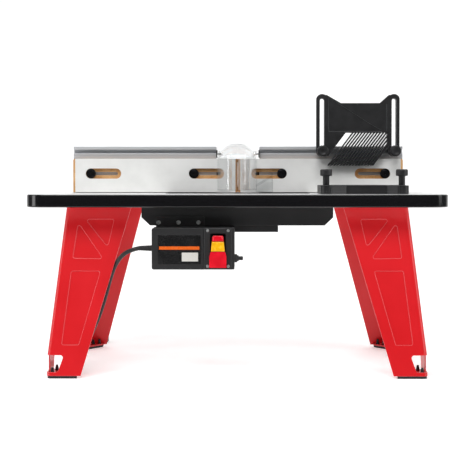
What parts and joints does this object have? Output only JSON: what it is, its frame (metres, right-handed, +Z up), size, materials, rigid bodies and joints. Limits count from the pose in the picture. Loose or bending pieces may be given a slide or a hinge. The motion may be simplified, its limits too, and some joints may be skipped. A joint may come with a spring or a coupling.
{
  "type": "router table",
  "caption": "Benchtop router table: laminated top on splayed pressed steel legs, split sliding fence, clear cutter guard, featherboards and a safety paddle switch.",
  "frame": {"origin": "on the bench, under the middle of the table, with the lead left out of the count", "axes": "+X along the fence to the operator's right, +Y away from the operator, +Z up"},
  "size_m": [0.8475, 0.636, 0.5636],
  "materials": {
    "laminate_top": "pale melamine laminate on board, satin",
    "edge_band": "glossy black PVC edge band",
    "aluminium": "clear anodised extruded aluminium",
    "black_plate": "black phenolic plate, satin",
    "red_steel": "red powder coat on pressed steel",
    "black_steel": "black powder coat on sheet steel",
    "zinc_steel": "bright zinc plated steel",
    "black_oxide": "black oxide steel fasteners",
    "rubber": "black rubber",
    "black_plastic": "fine textured black moulded plastic",
    "switch_red": "glossy red moulded plastic",
    "key_yellow": "yellow moulded plastic",
    "clear_guard": "clear polycarbonate",
    "melamine_board": "white melamine faced fibreboard",
    "cord_jacket": "black PVC cord jacket",
    "label": "printed plate with a plain colour bar, no lettering"
  },
  "bodies": {
    "table": {"tabletop": "laminate_top", "edge_band": "edge_band", "mitre_track": "aluminium", "track_screws": "black_oxide", "insert_plate": "black_plate", "insert_ring": "black_plate", "plate_screws": "black_oxide", "leg_bolts": "zinc_steel", "front_apron": "black_steel", "rear_apron": "black_steel", "apron_screws": "zinc_steel", "switch_bracket": "black_steel", "switch_housing": "black_plastic", "switch_cover": "black_plastic", "switch_bezel": "black_plastic", "bezel_screws": "zinc_steel", "switch_screws": "zinc_steel", "label_plate": "label", "switch_mechanism": "black_plastic", "outlet": "black_plastic", "breaker_body": "black_plastic", "strain_relief": "rubber", "power_cord": "cord_jacket", "cord_coil": "cord_jacket", "cord_tie": "rubber", "plug": "rubber", "leg_front_left": "red_steel", "foot_pad_front_left": "rubber", "leg_front_right": "red_steel", "foot_pad_front_right": "rubber", "leg_back_left": "red_steel", "foot_pad_back_left": "rubber", "leg_back_right": "red_steel", "foot_pad_back_right": "rubber"},
    "fence": {"fence_extrusion_left": "aluminium", "fence_extrusion_right": "aluminium", "dust_hood": "black_plastic", "hood_screws": "zinc_steel", "fence_bolts": "zinc_steel", "face_bolts": "black_oxide", "face_nuts": "zinc_steel", "guard_arms": "black_steel", "guard_pins": "zinc_steel"},
    "face_left": {"face_left": "melamine_board"},
    "face_right": {"face_right": "melamine_board"},
    "guard": {"guard_hood": "clear_guard", "guard_wing": "clear_guard"},
    "fence_knob_left": {"fence_knob_left": "black_plastic"},
    "fence_knob_right": {"fence_knob_right": "black_plastic"},
    "fence_board_carriage": {"fence_board_bolts": "zinc_steel"},
    "fence_board": {"fence_featherboard": "black_plastic"},
    "fence_board_knob_left": {"fence_board_knob_left": "black_plastic"},
    "fence_board_knob_right": {"fence_board_knob_right": "black_plastic"},
    "table_board_carriage": {"table_board_bolts": "zinc_steel"},
    "table_board": {"table_featherboard": "black_plastic"},
    "table_board_knob_left": {"table_board_knob_left": "black_plastic"},
    "table_board_knob_right": {"table_board_knob_right": "black_plastic"},
    "switch_rocker": {"switch_rocker": "switch_red"},
    "safety_key": {"safety_key": "key_yellow"},
    "breaker_button": {"breaker_button": "black_plastic"}
  },
  "joints": [
    {"name": "fence_slide", "type": "slide", "parent": "table", "child": "fence", "axis": [0, 1, 0], "range_m": [-0.02, 0.045]},
    {"name": "face_left_slide", "type": "slide", "parent": "fence", "child": "face_left", "axis": [-1, 0, 0], "range_m": [0, 0.05]},
    {"name": "face_right_slide", "type": "slide", "parent": "fence", "child": "face_right", "axis": [1, 0, 0], "range_m": [0, 0.05]},
    {"name": "guard_hinge", "type": "hinge", "parent": "fence", "child": "guard", "pos_m": [0, 0.026, 0.438], "axis": [-1, 0, 0], "range_deg": [0, 80]},
    {"name": "fence_knob_left_turn", "type": "hinge", "parent": "fence", "child": "fence_knob_left", "pos_m": [-0.178, 0.078, 0.37], "axis": [0, 0, 1], "continuous": true},
    {"name": "fence_knob_right_turn", "type": "hinge", "parent": "fence", "child": "fence_knob_right", "pos_m": [0.178, 0.078, 0.37], "axis": [0, 0, 1], "continuous": true},
    {"name": "fence_board_travel", "type": "slide", "parent": "fence", "child": "fence_board_carriage", "axis": [1, 0, 0], "range_m": [-0.08, 0.008]},
    {"name": "fence_board_height", "type": "slide", "parent": "fence_board_carriage", "child": "fence_board", "axis": [0, 0, 1], "range_m": [-0.05, 0]},
    {"name": "fence_board_knob_left_turn", "type": "hinge", "parent": "fence_board_carriage", "child": "fence_board_knob_left", "pos_m": [0.177, -0.01, 0.443], "axis": [0, 1, 0], "continuous": true},
    {"name": "fence_board_knob_right_turn", "type": "hinge", "parent": "fence_board_carriage", "child": "fence_board_knob_right", "pos_m": [0.328, -0.01, 0.443], "axis": [0, 1, 0], "continuous": true},
    {"name": "table_board_travel", "type": "slide", "parent": "table", "child": "table_board_carriage", "axis": [1, 0, 0], "range_m": [-0.08, 0.05]},
    {"name": "table_board_reach", "type": "slide", "parent": "table_board_carriage", "child": "table_board", "axis": [0, 1, 0], "range_m": [-0.06, 0]},
    {"name": "table_board_knob_left_turn", "type": "hinge", "parent": "table_board_carriage", "child": "table_board_knob_left", "pos_m": [0.177, -0.128, 0.38], "axis": [0, 0, 1], "continuous": true},
    {"name": "table_board_knob_right_turn", "type": "hinge", "parent": "table_board_carriage", "child": "table_board_knob_right", "pos_m": [0.328, -0.128, 0.38], "axis": [0, 0, 1], "continuous": true},
    {"name": "switch_rocker_tilt", "type": "hinge", "parent": "table", "child": "switch_rocker", "pos_m": [-0.037, -0.195, 0.255], "axis": [-1, 0, 0], "range_deg": [-4, 12], "stiffness_Nm_per_rad": 0.15},
    {"name": "safety_key_pull", "type": "slide", "parent": "switch_rocker", "child": "safety_key", "axis": [0, -1, 0], "range_m": [0, 0.02]},
    {"name": "breaker_press", "type": "slide", "parent": "table", "child": "breaker_button", "axis": [-1, 0, 0], "range_m": [0, 0.002], "stiffness_N_per_m": 500}
  ]
}
